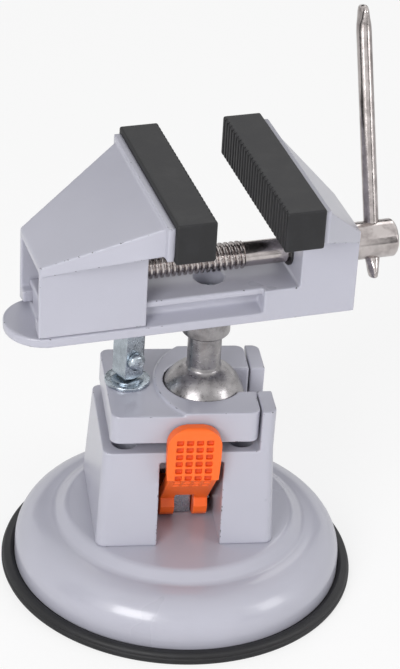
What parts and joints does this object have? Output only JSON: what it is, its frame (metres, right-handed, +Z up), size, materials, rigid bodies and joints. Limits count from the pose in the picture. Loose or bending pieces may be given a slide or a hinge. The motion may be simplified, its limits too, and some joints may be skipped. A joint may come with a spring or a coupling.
{
  "type": "suction base vise",
  "caption": "Small bench vise on a suction pad: a lever grips the bench, a clamped ball lets the head turn and tip, and a screw closes its rubber-padded jaws.",
  "frame": {"origin": "middle of the pad's underside, on the bench", "axes": "+Z up from the bench; the suction lever stands towards -Y; the fixed jaw and its tommy bar are towards +X. The head keeps the picture's pose: turned 10 degrees and leaning 2.8 degrees from upright."},
  "size_m": [0.1348, 0.125, 0.2031],
  "materials": {
    "lavender_paint": "satin enamel over a die casting",
    "black_rubber": "moulded matt rubber",
    "orange_plastic": "moulded satin plastic",
    "nickel": "nickel plating, softly polished",
    "zinc": "zinc plating, satin",
    "black_steel": "blackened steel"
  },
  "bodies": {
    "base": {"suction_pad": "black_rubber", "base_dish": "lavender_paint", "tower": "lavender_paint", "tower_screws": "zinc"},
    "pull_stud": {"pull_stud": "zinc", "pull_plate": "zinc", "lever_pin": "nickel"},
    "suction_lever": {"suction_lever": "orange_plastic"},
    "clamp_plate": {"clamp_plate": "lavender_paint", "clamp_washer": "zinc"},
    "clamp_screw": {"clamp_screw": "zinc", "clamp_lever_pin": "zinc"},
    "clamp_lever": {"clamp_lever": "zinc"},
    "ball_stud": {"ball_stud": "nickel", "stud_collar": "nickel", "bed_screw": "zinc"},
    "head": {"bed": "lavender_paint", "fixed_jaw_pad": "black_rubber"},
    "moving_jaw": {"moving_jaw": "lavender_paint", "moving_jaw_pad": "black_rubber"},
    "lead_screw": {"lead_screw": "nickel", "thrust_washer": "black_steel", "screw_hub": "nickel"},
    "tommy_bar": {"tommy_bar": "nickel"}
  },
  "joints": [
    {"name": "stud_rise", "type": "slide", "parent": "base", "child": "pull_stud", "axis": [0, 0, 1], "range_m": [0, 0.005]},
    {"name": "lever_turn", "type": "hinge", "parent": "pull_stud", "child": "suction_lever", "pos_m": [0, 0, 0.027], "axis": [1, 0, 0], "range_deg": [0, 50.01]},
    {"name": "clamp_lift", "type": "slide", "parent": "base", "child": "clamp_plate", "axis": [0, 0, 1], "range_m": [0, 0.0006]},
    {"name": "clamp_turn", "type": "hinge", "parent": "clamp_plate", "child": "clamp_screw", "pos_m": [-0.0207, 0.002, 0.075], "axis": [0, 0, 1], "range_deg": [0, 180.01]},
    {"name": "clamp_fold", "type": "hinge", "parent": "clamp_screw", "child": "clamp_lever", "pos_m": [-0.0207, 0.002, 0.084], "axis": [-0.4909, 0.8712, 0], "range_deg": [0, 90]},
    {"name": "ball_tilt", "type": "hinge", "parent": "base", "child": "ball_stud", "pos_m": [0.0053, 0, 0.068], "axis": [0, 0.999, 0.0451], "range_deg": [-6, 70]},
    {"name": "head_swivel", "type": "hinge", "parent": "ball_stud", "child": "head", "pos_m": [0.0053, 0, 0.068], "axis": [-0.0179, -0.0451, 0.9988], "continuous": true},
    {"name": "screw_spin", "type": "hinge", "parent": "head", "child": "lead_screw", "pos_m": [0.00429, -0.00254, 0.12433], "axis": [0.9847, 0.1723, 0.0255], "range_deg": [-4050.5, 3960.5]},
    {"name": "jaw_slide", "type": "slide", "parent": "head", "child": "moving_jaw", "axis": [-0.9847, -0.1723, -0.0255], "range_m": [-0.0225, 0.022]},
    {"name": "tommy_slide", "type": "slide", "parent": "lead_screw", "child": "tommy_bar", "axis": [-0.0753, 0.2892, 0.9543], "range_m": [-0.066, 0]}
  ],
  "couplings": [
    {"joint": "lever_turn", "follows": "stud_rise", "rad_per_m": 174.53},
    {"joint": "clamp_turn", "follows": "clamp_lift", "rad_per_m": 5236},
    {"joint": "screw_spin", "follows": "jaw_slide", "rad_per_m": 3141.6}
  ]
}
